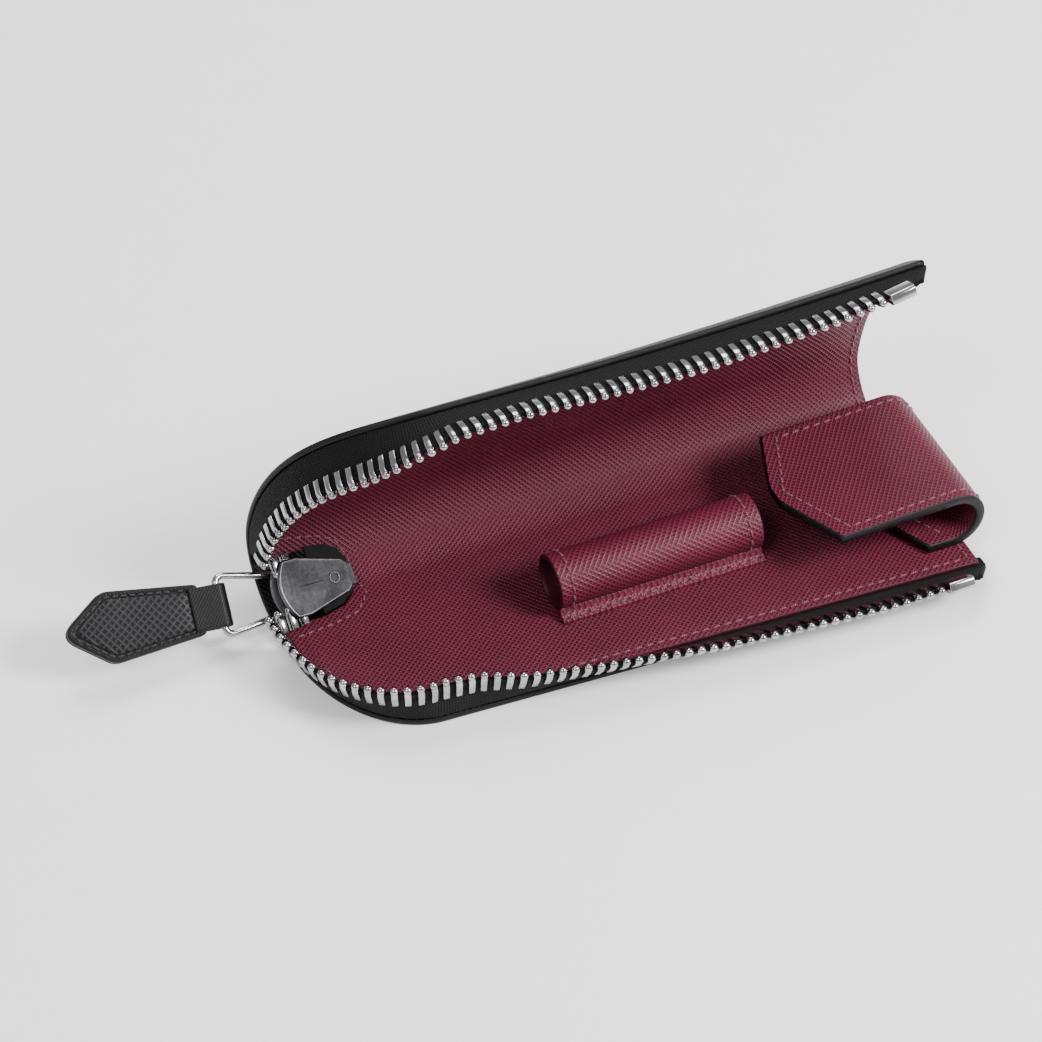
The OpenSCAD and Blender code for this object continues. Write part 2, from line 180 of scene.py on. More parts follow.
def saffiano(name, ridge, pit, gloss, pitch=0.98, depth=0.16, coat=0.05, shine=0.36):
    finish = Finish(name, specular_ior_level=shine, coat_roughness=0.25)
    uv, ridges = crosshatch(finish, pitch)
    cloud = finish.noise(uv, 0.05, 3.0)
    fine = finish.noise(uv, 6.0, 2.0)
    tone = finish.blend((ridges * 0.8 + cloud * 0.5 - 0.12).ease(0.05, 1.05), pit, ridge)
    height = ridges + fine * 0.18
    return finish.set(base_color=tone, roughness=gloss + 0.14 - ridges * 0.13 + (cloud - 0.5) * 0.12,
                      coat_weight=ridges * coat, normal=finish.relief(height, depth * MM)).material


def edge_paint(name, colour):
    finish = Finish(name, specular_ior_level=0.22)
    place = finish.node("ShaderNodeTexCoord", out=3)
    lumps = finish.noise(place, 420.0, 3.0)
    return finish.set(base_color=finish.blend(lumps, colour,
                                              tuple(min(1, c * 2.2 + 0.004) for c in colour[:3]) + (1.0,)),
                      roughness=0.36 + lumps * 0.2, normal=finish.relief(lumps, 0.12 * MM)).material


def woven(name):
    """Knitted zip tape: small interlocked chevrons in rows across its width."""
    finish = Finish(name, sheen_weight=0.04, sheen_roughness=0.4, specular_ior_level=0.12)
    uv, u, v = finish.flat_coordinates()
    row = (v * (2 * math.pi / 0.78)).sin()
    slant = (u * (2 * math.pi / 0.62) + row * 1.5 + finish.noise(uv, 1.2) * 1.2).sin() * 0.5 + 0.5
    rib = (v * (2 * math.pi / 0.39)).sin() * 0.5 + 0.5
    loops = slant * 0.65 + rib * 0.35
    fuzz = finish.noise(uv, 5.0, 3.0)
    tone = finish.blend((loops * 0.75 + fuzz * 0.5 - 0.1).ease(0.1, 1.1), rgb(3, 3, 4), rgb(26, 26, 27))
    return finish.set(base_color=tone, roughness=0.86 - loops * 0.12,
                      normal=finish.relief(loops + fuzz * 0.35, 0.2 * MM)).material


def plated(name, colour, gloss, scratch=0.05, mottled=0.0):
    finish = Finish(name, metallic=1.0)
    place = finish.node("ShaderNodeTexCoord", out=3)
    smear = finish.noise(place, 160.0, 3.0)
    grain = finish.noise(place, 1400.0, 2.0)
    dark = tuple(c * (0.62 - mottled) for c in colour[:3]) + (1.0,)
    return finish.set(base_color=finish.blend(smear.ease(0.3, 0.7), dark, colour),
                      roughness=gloss + grain * scratch + smear * 0.06,
                      normal=finish.relief(grain + smear, 0.012 * MM)).material


def thread(name, dark, light):
    """Waxed sewing thread with a twist along each stitch."""
    finish = Finish(name, sheen_weight=0.2, specular_ior_level=0.5)
    uv, u, v = finish.flat_coordinates()
    twist = ((u * 5.2 + v * 1.4) * 2.4).sin() * 0.5 + 0.5
    return finish.set(base_color=finish.blend(twist, dark, light), roughness=0.55 - twist * 0.1,
                      normal=finish.relief(twist, 0.05 * MM)).material


def fibre_board(name):
    finish = Finish(name)
    place = finish.node("ShaderNodeTexCoord", out=3)
    specks = finish.noise(place, 900.0, 4.0)
    return finish.set(base_color=finish.blend(specks, rgb(96, 90, 82), rgb(140, 132, 120)),
                      roughness=0.8 + specks * 0.1,
                      normal=finish.relief(specks, 0.05 * MM)).material


burgundy = saffiano("burgundy saffiano", rgb(112, 32, 56), rgb(56, 10, 26), 0.42, depth=0.2)
burgundy_loop = saffiano("burgundy calf, rolled", rgb(112, 32, 56), rgb(64, 14, 32), 0.38, pitch=1.05,
                         depth=0.14)
black_saffiano = saffiano("black saffiano", rgb(20, 20, 21), rgb(5, 5, 6), 0.42, shine=0.16)
black_panel = saffiano("black saffiano panel", rgb(50, 50, 52), rgb(8, 8, 9), 0.38, pitch=1.3, depth=0.26,
                       shine=0.2)
black_calf = saffiano("black calf strap", rgb(13, 13, 14), rgb(6, 6, 7), 0.34, pitch=0.6, depth=0.05,
                      shine=0.18)
black_paint = edge_paint("black edge paint", rgb(7, 7, 8))
burgundy_cut = edge_paint("burgundy cut edge", rgb(46, 9, 22))
tape_weave = woven("black zip tape")
nickel = plated("polished nickel", rgb(186, 186, 189), 0.12)
gunmetal = plated("dark plated metal", rgb(56, 56, 58), 0.38, scratch=0.2, mottled=0.15)
# lighter, glossier plating: on the slider plates' bevelled edges and rivet rim it is a painted highlight; the
# lock spring takes it too
highlight_and_spring_metal = plated("lighter metal, painted edge highlight", rgb(108, 108, 110), 0.26, scratch=0.1)
burgundy_thread = thread("burgundy thread", rgb(64, 14, 32), rgb(142, 72, 92))
black_thread = thread("black thread", rgb(4, 4, 4), rgb(30, 30, 30))
board = fibre_board("grey fibre board")


# ---------------------------------------------------------------- shape of the case
# in millimetres, as in the part's source
OPEN_END, CLOSED_END, FRONT, TAPER = 76.5, 72.5, 31.0, 0.05
LEATHER_T, BOARD_T, WALL = 1.4, 0.6, 3.2
SPINE_Y, SPINE_Z, MID_R = 17.5, 15.2, 13.6
ROLL_END, PANEL_OUT, PANEL_MID, BACK_H = math.radians(8), 60.7, 59.1, 49.5
PANEL_C = np.array([SPINE_Y, SPINE_Z]) - (PANEL_OUT - SPINE_Z) * np.array([math.cos(ROLL_END),
                                                                           math.sin(ROLL_END)])
ROLL_L = MID_R * (ROLL_END + math.pi / 2)
TOP_Q = ROLL_L + BACK_H
LOW_CORNER, BACK_CORNER = (24.0, 34.0), (37.0, 53.0)

# soft leather: the back panel's top edge lifts at the open end and sags in its middle
LIFT, SAG = 2.0, 0.9


def drawn_in(x):
    return TAPER * (OPEN_END - x)


def lean(q):
    """Angle of the wall's outward side at distance q along its middle from the spine's start."""
    q = np.asarray(q, float)
    return np.where(q < 0, -math.pi / 2,
                    np.where(q < ROLL_L, q / MID_R - math.pi / 2, ROLL_END + (q - ROLL_L) / PANEL_MID))


def on_wall(x, q, h):
    """Point at x along the case, q round its cross-section and h in from the outer face."""
    x, q, h = np.broadcast_arrays(np.asarray(x, float), np.asarray(q, float), np.asarray(h, float))
    a = lean(q)
    roll = q < ROLL_L
    radius = np.where(roll, SPINE_Z - h, PANEL_OUT - h)
    y = np.where(roll, SPINE_Y, PANEL_C[0]) + radius * np.cos(a) + np.minimum(q, 0)
    z = np.where(roll, SPINE_Z, PANEL_C[1]) + radius * np.sin(a)
    lift = LIFT * np.clip((x - 20) / (OPEN_END - 20), 0, 1) ** 2 - SAG * np.exp(-(x / 32) ** 2)
    return np.stack([x, y, z + lift * np.clip(q / TOP_Q, 0, 1) ** 2], -1)


def inward(q):
    a = lean(q)
    return np.stack([np.zeros_like(a), -np.cos(a), -np.sin(a)], -1)


def along_q(q):
    a = lean(q)
    return np.stack([np.zeros_like(a), -np.sin(a), np.cos(a)], -1)


def corner_depth(x, corner, inset):
    """Distance in from the long edge's level at the open end, at x, for a rim cut back by inset."""
    x0 = corner[0] - CLOSED_END
    s = np.clip((x0 - np.asarray(x, float)) / (corner[0] - inset), 0, 1)
    curved = drawn_in(x0) + corner[1] - (corner[1] - inset) * np.sqrt(1 - s * s)
    return np.where(x < x0, curved, drawn_in(x) + inset)


def q_low(x, inset):
    return corner_depth(x, LOW_CORNER, inset) - FRONT - SPINE_Y


def q_high(x, inset):
    return TOP_Q - corner_depth(x, BACK_CORNER, inset)


# ---------------------------------------------------------------- mesh tools
def unit(vectors):
    return vectors / np.linalg.norm(vectors, axis=1, keepdims=True)


def walked(path):
    """Distance along a path at each of its points."""
    return np.concatenate([[0], np.cumsum(np.linalg.norm(np.diff(path, axis=0), axis=1))])


def tube_faces(rows, sides, base=0, closed=False):
    """The faces between rings of points, with both ends capped unless the tube closes on itself."""
    faces = []
    for j in range(rows if closed else rows - 1):
        a, b = base + j * sides, base + (j + 1) % rows * sides
        faces += [[a + i, a + (i + 1) % sides, b + (i + 1) % sides, b + i] for i in range(sides)]
    if not closed:
        last = base + (rows - 1) * sides
        faces += [[base + i for i in range(sides)][::-1], [last + i for i in range(sides)]]
    return faces


def inner_side(outline):
    """At each point of a closed outline, the direction across it towards the middle."""
    along = unit(np.roll(outline, -1, 0) - np.roll(outline, 1, 0))
    inner = np.stack([-along[:, 1], along[:, 0]], -1)
    return inner * np.sign(np.sum((outline.mean(0) - outline) * inner))


def new_piece(name, points, faces, materials, flat=None, smooth=True, material_of=None):
    """A mesh object from points in millimetres. flat gives each point's own flat coordinates in millimetres."""
    mesh = bpy.data.meshes.new(name)
    points = np.asarray(points, float).reshape(-1, 3)
    mesh.from_pydata((points * MM).tolist(), [], [list(map(int, f)) for f in faces])
    for material in materials:
        mesh.materials.append(material)
    layer = mesh.uv_layers.new(name="flat")
    corners = np.zeros(len(mesh.loops), int)
    mesh.loops.foreach_get("vertex_index", corners)
    flat = points[:, :2] if flat is None else np.asarray(flat, float).reshape(-1, 2)
    layer.data.foreach_set("uv", flat[corners].ravel())
    mesh.polygons.foreach_set("use_smooth", [smooth] * len(mesh.polygons))
    if material_of is not None:
        mesh.polygons.foreach_set("material_index", list(map(int, material_of)))
    mesh.validate()
    mesh.update()
    piece = bpy.data.objects.new(name, mesh)
    bpy.context.scene.collection.objects.link(piece)
    return piece


def outward(piece):
    """Turns every face outwards."""
    bm = bmesh.new()
    bm.from_mesh(piece.data)
    bmesh.ops.recalc_face_normals(bm, faces=bm.faces)
    bm.to_mesh(piece.data)
    bm.free()
    return piece


def applied(piece):
    """Bakes a piece's modifiers into its mesh."""
    bpy.context.view_layer.update()
    mesh = bpy.data.meshes.new_from_object(piece.evaluated_get(bpy.context.evaluated_depsgraph_get()))
    piece.modifiers.clear()
    piece.data = mesh
    return piece


def softened(piece, width, segments=2, angle=35):
    """Rounds the sharp edges of a piece."""
    tool = piece.modifiers.new("round", "BEVEL")
    tool.width, tool.segments = width * MM, segments
    tool.limit_method, tool.angle_limit = "ANGLE", math.radians(angle)
    return applied(piece)


def padded_sheet(name, place, levels, columns, rows, materials, flat_of):
    """A closed sheet. place(inset, h) gives a grid of points, rows x columns. levels are the (inset, h)
    of its faces and of the steps round its edge, from the first face to the last."""
    grids = [place(inset, h) for inset, h in levels]
    flats = flat_of(levels[0][0])
    border = [(0, c) for c in range(columns)] + [(r, columns - 1) for r in range(1, rows)]
    border += [(rows - 1, c) for c in range(columns - 2, -1, -1)] + [(r, 0) for r in range(rows - 2, 0, -1)]
    ring_rows, ring_columns = np.array(border).T
    size, points, flat, faces, which = rows * columns, [], [], [], []
    index = np.arange(size).reshape(rows, columns)
    for n, grid in enumerate((grids[0], grids[-1])):
        points.append(grid.reshape(-1, 3))
        flat.append(flats.reshape(-1, 2))
        a, b, c, d = index[:-1, :-1], index[:-1, 1:], index[1:, 1:], index[1:, :-1]
        quads = np.stack([a, b, c, d] if n else [d, c, b, a], -1).reshape(-1, 4) + n * size
        faces += quads.tolist()
        which += [n] * len(quads)
    loops = [index[ring_rows, ring_columns]]
    total = 2 * size
    for grid in grids[1:-1]:
        points.append(grid[ring_rows, ring_columns])
        flat.append(flats[ring_rows, ring_columns])
        loops.append(np.arange(total, total + len(border)))
        total += len(border)
    loops.append(index[ring_rows, ring_columns] + size)
    for low, high in zip(loops[:-1], loops[1:]):
        for k in range(len(border)):
            j = (k + 1) % len(border)
            faces.append([low[k], low[j], high[j], high[k]])
            which.append(2)
    return outward(new_piece(name, np.concatenate(points), faces, materials, np.concatenate(flat),
                             material_of=which))


def edge_levels(h0, h1, inset, soft):
    """Steps round a rounded edge, from the face at h0 to the face at h1."""
    middle, half = (h0 + h1) / 2, (h1 - h0) / 2
    steps = [(inset + soft, h0)]
    steps += [(inset + soft * (1 - math.cos(t)), middle + half * math.sin(t))
              for t in np.radians([-62, -38, -14, 14, 38, 62])]
    return steps + [(inset + soft, h1)]


def swept(name, path, radius, material, closed=False, sides=12, up=None):
    """A round wire or thread along a path in millimetres."""
    path = np.asarray(path, float)
    count = len(path)
    ahead = np.roll(path, -1, 0) - np.roll(path, 1, 0)
    if not closed:
        ahead[0], ahead[-1] = path[1] - path[0], path[-1] - path[-2]
    ahead = unit(ahead)
    side = np.cross(ahead, up if up is not None else (0.0, 0.0, 1.0))
    side = unit(side)
    over = np.cross(side, ahead)
    radius = np.broadcast_to(np.asarray(radius, float), (count,))
    turn = np.linspace(0, 2 * math.pi, sides, endpoint=False)
    rings = (path[:, None] + radius[:, None, None] * (side[:, None] * np.cos(turn)[None, :, None]
                                                      + over[:, None] * np.sin(turn)[None, :, None]))
    length = walked(path)
    flat = np.stack(np.broadcast_arrays(length[:, None], (turn * radius.mean())[None, :]), -1)
    return outward(new_piece(name, rings, tube_faces(count, sides, closed=closed), [material], flat))


def joined(name, pieces):
    """One object from several, keeping their materials."""
    bpy.context.view_layer.update()
    for other in bpy.context.selected_objects:
        other.select_set(False)
    for piece in pieces:
        piece.select_set(True)
    bpy.context.view_layer.objects.active = pieces[0]
    bpy.ops.object.join()
    pieces[0].name = name
    return pieces[0]


def resampled(path, pitch, start=0.0):
    """Points at equal steps along a path, with the direction of travel at each."""
    path = np.asarray(path, float)
    length = walked(path)
    count = max(2, int((length[-1] - start) / pitch) + 1)
    at = start + np.arange(count) * pitch
    at = at[at <= length[-1]]
    point = lambda s: np.stack([np.interp(s, length, path[:, k]) for k in range(3)], -1)
    ahead = point(np.minimum(at + 0.3, length[-1])) - point(np.maximum(at - 0.3, 0))
    return point(at), unit(ahead)


def stitches(name, path, normals, material, pitch=2.6, length=2.05, radius=0.24, lift=0.02, slant=0.12):
    """A run of lockstitches: short threads that dip into the leather at both ends. normals are the
    surface's own, one for each point of the path."""
    path, normals = np.asarray(path, float), np.asarray(normals, float)
    spots, ahead = resampled(path, pitch, pitch / 2)
    walk = walked(path)
    at = pitch / 2 + np.arange(len(spots)) * pitch
    up = np.stack([np.interp(at, walk, normals[:, k]) for k in range(3)], -1)
    up = unit(up)
    side = np.cross(up, ahead)
    steps, turn = np.linspace(-1, 1, 9), np.linspace(0, 2 * math.pi, 8, endpoint=False)
    points, flat, faces = [], [], []
    for n in range(len(spots)):
        base = n * len(steps) * len(turn)
        for s in steps:
            thick = radius * math.sqrt(max(0.0, 1 - abs(s) ** 4)) + 0.02
            centre = (spots[n] + ahead[n] * s * length / 2 + side[n] * slant * s
                      + up[n] * (lift - 0.3 * max(0.0, abs(s) - 0.55) / 0.45 * radius * 3))
            for t in turn:
                points.append(centre + thick * (math.cos(t) * side[n] + math.sin(t) * up[n]))
                flat.append((s * length / 2 + n, t * radius))
        faces += tube_faces(len(steps), len(turn), base)
    return outward(new_piece(name, points, faces, [material], flat))


def finish_piece(piece, body=None, blend=None, replaces=()):
    if replaces:
        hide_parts(*replaces)
    if blend:
        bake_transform(piece)
    else:
        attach(piece, body)
    return piece


# ---------------------------------------------------------------- leather, board and lining
# one sheet each, bending along the spine
def spine_point(degrees):
    a = math.radians(degrees)
    return (0, (SPINE_Y + MID_R * math.cos(a)) * MM, (SPINE_Z + MID_R * math.sin(a)) * MM)


SPINE_BEND = ("base", "back_panel", spine_point(-72), spine_point(-8))

columns_x = np.concatenate([-CLOSED_END + 49 * (1 - np.cos(np.linspace(0, math.pi / 2, 52))),
                            np.linspace(-22.5, OPEN_END, 62)])
rows_v = np.linspace(0, 1, 118)


def sheet_grid(inset):
    x0 = inset - CLOSED_END
    span = (columns_x + CLOSED_END) / (OPEN_END + CLOSED_END)
    x = x0 + span * (OPEN_END - inset - x0)
    low, high = q_low(x, inset), q_high(x, inset)
    q = low[None, :] + rows_v[:, None] * (high - low)[None, :]
    return np.broadcast_to(x, q.shape), q


def sheet_piece(name, h0, h1, inset, soft, materials, sag=None):
    def place(i, h):
        x, q = sheet_grid(i)
        points = on_wall(x, q, h)
        return points if sag is None else points + sag(x, q, i)[..., None] * inward(q)
    flat = lambda i: np.stack(sheet_grid(i), -1)
    return padded_sheet(name, place, edge_levels(h0, h1, inset, soft), len(columns_x), len(rows_v),
                        materials, flat)


outer = sheet_piece("outer_leather", 0.0, LEATHER_T - 0.02, 0.0, 0.35,
                    [black_saffiano, black_saffiano, black_paint])
finish_piece(outer, blend=SPINE_BEND,
             replaces=("outer_leather_lower", "outer_leather_back"))

stiffener = sheet_piece("stiffener", LEATHER_T + 0.03, LEATHER_T + BOARD_T - 0.03, 8.0, 0.1,
                        [board, board, board])


def puckered(x, q, inset):
    """The lining swells a little between its stitched edge and the middle."""
    low, high = q_low(x, inset), q_high(x, inset)
    reach = np.minimum(np.minimum(q - low, high - q),
                       np.minimum(OPEN_END - inset - x, x + CLOSED_END - inset))
    return -0.16 * np.exp(-((reach - 1.6) / 0.8) ** 2)


lining = sheet_piece("lining", LEATHER_T + BOARD_T + 0.02, WALL, 0.9, 0.3,
                     [burgundy, burgundy, burgundy_cut], puckered)

# ---- the slider's own frame: x from its mouth to its tail, z out of the inner plate
SLIDER_AT = np.array([-68.75, 14.7, 11.45])
SLIDER_TURN = np.array(Matrix.Rotation(math.radians(40), 3, "X")
                       @ Matrix.Rotation(math.radians(16), 3, "Y"))
SLIDER_L, SLIDER_T, NOTCH_LOW, NOTCH_HIGH, NOTCH_TAIL = 15.5, 4.6, 7.9, 8.9, 17.0


def by_slider(points):
    return SLIDER_AT + np.asarray(points, float) @ SLIDER_TURN.T


def rounded(corners, radius, steps=5, straight=6):
    """A closed outline with its corners rounded: the same number of points whatever its size."""
    corners = np.asarray(corners, float)
    out, n = [], len(corners)
    radii = np.broadcast_to(np.asarray(radius, float), (n,))
    ends = []
    for i in range(n):
        before, here, after = corners[i - 1], corners[i], corners[(i + 1) % n]
        to_before, to_after = before - here, after - here
        to_before, to_after = to_before / np.linalg.norm(to_before), to_after / np.linalg.norm(to_after)
        angle = math.acos(float(np.clip(to_before @ to_after, -1, 1)))
        reach = radii[i] / math.tan(angle / 2)
        start, stop = here + to_before * reach, here + to_after * reach
        arc = []
        for t in np.linspace(0, 1, steps + 1):
            arc.append((1 - t) ** 2 * start + 2 * t * (1 - t) * here + t * t * stop)
        ends.append(arc)
    for i in range(n):
        out += ends[i]
        nxt = ends[(i + 1) % n][0]
        out += [ends[i][-1] + (nxt - ends[i][-1]) * t for t in np.linspace(0, 1, straight + 1)[1:-1]]
    return np.array(out)


notch_corners = [(-25, -NOTCH_LOW), (8, 0.6 - NOTCH_LOW), (NOTCH_TAIL - 4, 1.7 - NOTCH_LOW),
                 (NOTCH_TAIL - 0.5, 4 - NOTCH_LOW), (NOTCH_TAIL, NOTCH_HIGH - 5.4),
                 (NOTCH_TAIL - 1.5, NOTCH_HIGH - 2.4), (NOTCH_TAIL - 4.5, NOTCH_HIGH - 0.7),
                 (-25, NOTCH_HIGH)]


def prism(name, outline, z0, z1, frame_of, material):
    outline = np.asarray(outline, float)
    n = len(outline)
    points = [frame_of((x, y, z)) for z in (z0, z1) for x, y in outline]
    faces = [list(range(n))[::-1], [n + i for i in range(n)]]
    faces += [[i, (i + 1) % n, n + (i + 1) % n, n + i] for i in range(n)]
    return outward(new_piece(name, points, faces, [material], smooth=False))


def cut_notch(piece):
    cutter = prism("notch cutter", rounded(notch_corners, 0.9, 3, 2), -20, 20, by_slider, burgundy_cut)
    tool = piece.modifiers.new("notch", "BOOLEAN")
    tool.operation, tool.solver, tool.object = "DIFFERENCE", "EXACT", cutter
    applied(piece)
    bpy.data.objects.remove(cutter)
    return piece


for sheet in (lining, stiffener):
    cut_notch(sheet)
finish_piece(lining, blend=SPINE_BEND, replaces=("lining_lower", "lining_back"))
finish_piece(stiffener, blend=SPINE_BEND, replaces=("stiffener_lower", "stiffener_back"))


# ---- lockstitching round the lining
def lining_line(xq):
    xq = np.asarray(xq, float)
    return on_wall(xq[:, 0], xq[:, 1], WALL - 0.06), inward(xq[:, 1])


def edge_line(inset):
    """Along the front edge, up the open end and back along the top edge."""
    start, stop = -CLOSED_END + inset + 1.5, OPEN_END - inset
    rim_front = [(x, float(q_low(x, inset))) for x in np.linspace(start, stop, 140)]
    end = [(stop, q) for q in np.linspace(float(q_low(stop, inset)), float(q_high(stop, inset)), 90)]
    rim_back = [(x, float(q_high(x, inset))) for x in np.linspace(stop, start, 140)]
    return rim_front, end, rim_back


LINING_SEAM = 2.9
seams = []
for n, run in enumerate(edge_line(LINING_SEAM)):
    line, normals = lining_line(run)
    seams.append(stitches("seam %d" % n, line, normals, burgundy_thread))


def wall_q(points):
    """The wall's own q for points near the lining's surface."""
    points = np.asarray(points, float)
    a = np.arctan2(points[:, 2] - SPINE_Z, points[:, 1] - SPINE_Y)
    roll = np.where(points[:, 1] < SPINE_Y, points[:, 1] - SPINE_Y, (a + math.pi / 2) * MID_R)
    b = np.arctan2(points[:, 2] - PANEL_C[1], points[:, 1] - PANEL_C[0])
    return np.where((b > ROLL_END) & (points[:, 2] > SPINE_Z), ROLL_L + (b - ROLL_END) * PANEL_MID, roll)


def on_lining(x, y):
    """Where a line through (x, y) of the slider's frame meets the lining."""
    best = None
    for z in np.linspace(-6, 6, 121):
        p = by_slider((x, y, z))
        q = float(wall_q([p])[0])
        gap = float(np.linalg.norm(on_wall(p[0], q, WALL) - p))
        if best is None or gap < best[0]:
            best = (gap, p[0], q)
    return best[1:]


NOTCH_SEAM = 2.3
notch_seam = rounded([(-1.0, -NOTCH_LOW - NOTCH_SEAM), (8, -7.3 - NOTCH_SEAM), (14.2, -6.2 - NOTCH_SEAM),
                      (NOTCH_TAIL + 1.7, -5.0), (NOTCH_TAIL + NOTCH_SEAM, 4.0), (NOTCH_TAIL + 0.6, 8.4),
                      (13.4, NOTCH_HIGH + 1.4), (-1.0, NOTCH_HIGH + NOTCH_SEAM)], 1.5, 4, 6)
notch_run = [on_lining(x, y) for x, y in notch_seam if x > -0.9]
gaps = [math.dist(here, after) for here, after in zip(notch_run, notch_run[1:] + notch_run[:1])]
cut = int(np.argmax(gaps)) + 1
line, normals = lining_line(notch_run[cut:] + notch_run[:cut])
seams.append(stitches("notch seam", line, normals, burgundy_thread, pitch=2.3, length=1.8))
finish_piece(joined("lining_stitching", seams), blend=SPINE_BEND)


# ---------------------------------------------------------------- zip tapes and teeth
EDGE_INSET, TAPE_H, TAPE_MARGIN, TAPE_T, TAPE_WALL, TIP_H = 0.45, 1.7, 3.0, 0.6, 9.6, 10.5
PITCH, BALL_R, FIRST_TOOTH, TAIL_CUT = 2.8, 0.95, 15.7, 5.5
STOP_AT, STOP_L, STOP_W, STOP_T = 11.0, 6.0, 3.8, 2.6
LOW_LEAN = ((-68, -60, -50, -42, -33, -17, 12, 50, 80), (66, 76, 88, 84, 67, 55, 38, 30, 38))
BACK_LEAN = ((-68, -52, -42, -35, -20, 20, 50, 80), (88, 74, 46, 30, 25, 30, 22, 5))


def edge_frames(corner, lean_of, step=0.65):
    """Along one long edge and round its corner: root points, outward directions, inward normals and
    the tape's lean."""
    x0 = corner[0] - CLOSED_END
    x = np.arange(OPEN_END + 0.5, x0, -step)
    run = [(a, float(drawn_in(a)) + EDGE_INSET, 0.0, 1.0) for a in x]
    for a in np.radians(np.arange(0, 90.1, 1.2)):
        o = np.array([math.sin(a) / corner[0], math.cos(a) / corner[1]])
        o /= np.linalg.norm(o)
        run.append((x0 - (corner[0] - EDGE_INSET) * math.sin(a),
                    float(drawn_in(x0)) + corner[1] - (corner[1] - EDGE_INSET) * math.cos(a), -o[0], o[1]))
    run = np.array(run)
    phi = np.radians(np.interp(run[:, 0], *lean_of))
    if corner is LOW_CORNER:
        point = np.stack([run[:, 0], run[:, 1] - FRONT, np.full(len(run), TAPE_H)], -1)
        out = np.stack([run[:, 2], -run[:, 3], 0 * phi], -1)
        up = np.tile((0.0, 0.0, 1.0), (len(run), 1))
    else:
        q = TOP_Q - run[:, 1]
        point, up = on_wall(run[:, 0], q, TAPE_H), inward(q)
        out = run[:, 2:3] * (1, 0, 0) + run[:, 3:4] * along_q(q)
    return point, out, up, phi


def lofted(name, rings, material, flat):
    """A closed skin over rings of points, capped at both ends."""
    return outward(new_piece(name, rings, tube_faces(*rings.shape[:2]), [material], flat))


def tape(name, frames):
    """The tape lies flat between the leathers, bends over their edge and stands out, with a corded
    edge under the teeth."""
    point, out, up, phi = frames
    across = np.concatenate([np.linspace(-TAPE_MARGIN, -0.9, 4), np.linspace(-0.6, 0.9, 6),
                             np.linspace(1.6, 8.7, 10), np.linspace(8.85, TAPE_WALL, 6)])
    half = np.where(across < 8.8, TAPE_T / 2,
                    TAPE_T / 2 + 0.24 * np.sin(np.clip((across - 8.75) / 0.85, 0, 1) * math.pi))
    half[0], half[-1] = 0.12, 0.12
    walk = walked(point)
    rings, flats = [], []
    for k in range(len(point)):
        soft = np.clip((across + 0.9) / 1.8, 0, 1)
        turn = phi[k] * soft * soft * (3 - 2 * soft)
        step = np.diff(across, prepend=across[0])
        along = np.stack([across[0] + np.cumsum(step * np.cos(turn)), np.cumsum(step * np.sin(turn))], -1)
        true = TAPE_WALL * np.array([math.cos(phi[k]), math.sin(phi[k])])
        along += np.clip(across / TAPE_WALL, 0, 1)[:, None] * (true - along[-1])
        slope = np.gradient(along, axis=0)
        slope = unit(slope)
        normal = np.stack([-slope[:, 1], slope[:, 0]], -1)
        pucker = 0.1 * math.sin(walk[k] * 2 * math.pi / PITCH) * np.clip((across - 5) / 4, 0, 1)
        ring = np.concatenate([along + normal * (half + pucker)[:, None],
                               (along - normal * (half - pucker)[:, None])[::-1]])
        reach = np.concatenate([across, across[::-1]])
        trim = TAIL_CUT * np.clip(reach / TAPE_WALL, 0, 1) * math.exp(-walk[k] / 9)
        rings.append(point[k] + ring[:, :1] * out[k] + ring[:, 1:] * up[k] - trim[:, None] * (1, 0, 0))
        flats.append(np.stack([np.full(2 * len(across), walk[k]),
                               np.concatenate([across, across[::-1] + 0.4])], -1))
    return lofted(name, np.array(rings), tape_weave, np.array(flats))


def template(piece):
    """A small piece as plain arrays, to be repeated."""
    points = np.array([v.co[:] for v in piece.data.vertices]) / MM
    faces = [list(p.vertices) for p in piece.data.polygons]
    bpy.data.objects.remove(piece)
    return points, faces


def repeated(name, pattern, places, materials):
    """One object with the pattern at each place; a place is (origin, three axes as rows)."""
    points, faces = pattern
    out_points, out_faces = [], []
    for n, (origin, axes) in enumerate(places):
        out_points.append(origin + points @ np.asarray(axes))
        out_faces += [[n * len(points) + i for i in face] for face in faces]
    return new_piece(name, np.concatenate(out_points), out_faces, materials)


def extruded(outline, half):
    """A bar with the outline in Y-Z and its length on X, from -half to half."""
    return prism("pattern", outline, -half, half, lambda p: np.array([p[2], p[0], p[1]]), nickel)


def tooth_pattern():
    legs = []
    for side in (-1, 1):
        bar = extruded([(-4.4, 0.35 * side), (-0.85, 0.35 * side), (-0.85, 0), (-0.2, 0),
                        (-0.2, 0.7 * side), (-0.95, 1.0 * side), (-1.5, 1.1 * side),
                        (-4.2, 1.1 * side), (-4.4, 0.95 * side)], 0.7)
        legs.append(softened(outward(bar), 0.16, 2, 40))
    bm = bmesh.new()
    bmesh.ops.create_uvsphere(bm, u_segments=18, v_segments=12, radius=BALL_R * MM)
    mesh = bpy.data.meshes.new("ball")
    bm.to_mesh(mesh)
    bm.free()
    ball = bpy.data.objects.new("ball", mesh)
    bpy.context.scene.collection.objects.link(ball)
    return template(joined("tooth", legs + [ball]))


